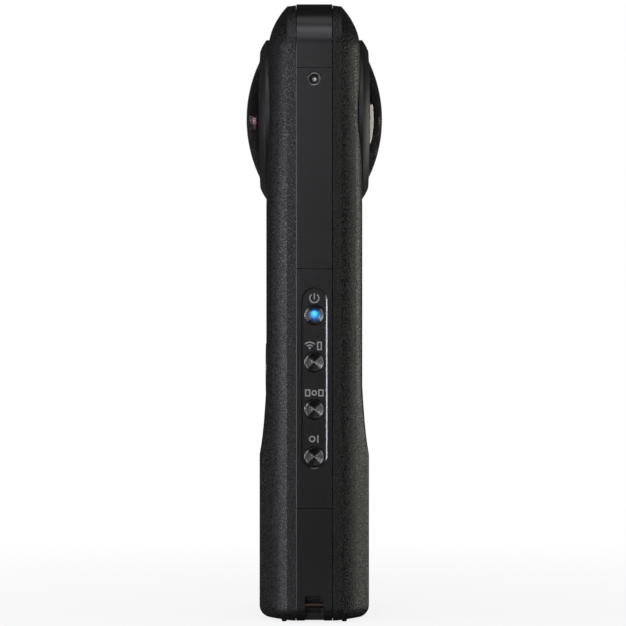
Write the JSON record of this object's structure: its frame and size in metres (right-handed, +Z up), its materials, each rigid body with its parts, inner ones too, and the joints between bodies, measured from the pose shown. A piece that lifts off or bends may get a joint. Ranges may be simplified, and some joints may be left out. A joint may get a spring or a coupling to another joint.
{
  "type": "360 degree camera",
  "caption": "Slim hand-held panoramic camera with a fisheye lens on each face, sprung keys down one side, a round shutter button and a tripod socket.",
  "frame": {"origin": "middle of the body at the plane that the feet stand on", "axes": "+Z up along the body, -Y out of the front face with the shutter button and the display, +X out of the side with the four keys"},
  "size_m": [0.048, 0.0298, 0.1319],
  "materials": {
    "shell": "fine leather-like grained black paint on a cast shell",
    "strip": "smooth black with a faint sheen",
    "base": "fine matte black",
    "feet": "matte black rubber",
    "pin": "plain turned pin",
    "frame": "cast, bead blasted",
    "socket": "turned and threaded",
    "connector": "folded sheet",
    "ring": "satin black paint over fine turning",
    "lens_glass": "coated and polished",
    "inner_glass": "coated and polished",
    "barrel": "black anodised",
    "seal": "soft black",
    "board": "green solder mask",
    "flex": "amber film",
    "window": "smoked and polished",
    "screen": "dark display glass",
    "can": "stamped tin-plated sheet",
    "spreader": "thin rolled sheet",
    "battery": "foil pouch",
    "tray": "moulded",
    "switch": "moulded",
    "capsule": "stamped",
    "trim": "polished black",
    "screw": "black zinc",
    "key": "black anodised with a spun, concentric finish",
    "shutter": "black anodised with a spun, concentric finish",
    "lamp": "lit blue diffuser"
  },
  "bodies": {
    "camera": {"front_shell": "shell", "rear_shell": "shell", "top_cap": "strip", "upper_right_panel": "strip", "button_panel": "strip", "lower_right_panel": "strip", "left_panel": "strip", "lower_left_panel": "strip", "base_plate": "base", "feet": "feet", "strap_pin": "pin", "chassis": "frame", "tripod_socket": "socket", "usb_connector": "connector", "front_lens_ring": "ring", "rear_lens_ring": "ring", "front_dome_lens": "lens_glass", "rear_dome_lens": "lens_glass", "front_second_lens": "inner_glass", "rear_second_lens": "inner_glass", "front_lens_barrel": "barrel", "rear_lens_barrel": "barrel", "front_lens_seal": "seal", "rear_lens_seal": "seal", "front_prism": "inner_glass", "rear_prism": "inner_glass", "front_relay_barrel": "barrel", "rear_relay_barrel": "barrel", "front_image_sensor": "board", "rear_image_sensor": "board", "front_sensor_flex": "flex", "rear_sensor_flex": "flex", "optics_frame": "frame", "display_window": "window", "display_gasket": "seal", "display_module": "screen", "main_board": "board", "shield_can": "can", "heat_spreader": "spreader", "battery": "battery", "battery_tray": "tray", "key_board": "board", "key_switches": "switch", "shutter_switch": "switch", "speaker": "switch", "microphones": "capsule", "microphone_trims": "trim", "antenna": "flex", "display_flex": "flex", "key_flex": "flex", "shell_screws": "screw", "base_screws": "screw", "optics_screws": "screw", "board_screws": "screw"},
    "shutter_button_body": {"shutter_button": "shutter"},
    "power_button_body": {"power_button": "key", "power_lamp": "lamp"},
    "wireless_button_body": {"wireless_button": "key"},
    "mode_button_body": {"mode_button": "key"},
    "function_button_body": {"function_button": "key"}
  },
  "joints": [
    {"name": "shutter_press", "type": "slide", "parent": "camera", "child": "shutter_button_body", "axis": [0, 1, 0], "range_m": [0, 0.0005], "stiffness_N_per_m": 3000, "springref_m": -0.0002},
    {"name": "power_press", "type": "slide", "parent": "camera", "child": "power_button_body", "axis": [-1, 0, 0], "range_m": [0, 0.0003], "stiffness_N_per_m": 3000, "springref_m": -0.0002},
    {"name": "wireless_press", "type": "slide", "parent": "camera", "child": "wireless_button_body", "axis": [-1, 0, 0], "range_m": [0, 0.0003], "stiffness_N_per_m": 3000, "springref_m": -0.0002},
    {"name": "mode_press", "type": "slide", "parent": "camera", "child": "mode_button_body", "axis": [-1, 0, 0], "range_m": [0, 0.0003], "stiffness_N_per_m": 3000, "springref_m": -0.0002},
    {"name": "function_press", "type": "slide", "parent": "camera", "child": "function_button_body", "axis": [-1, 0, 0], "range_m": [0, 0.0003], "stiffness_N_per_m": 3000, "springref_m": -0.0002}
  ]
}
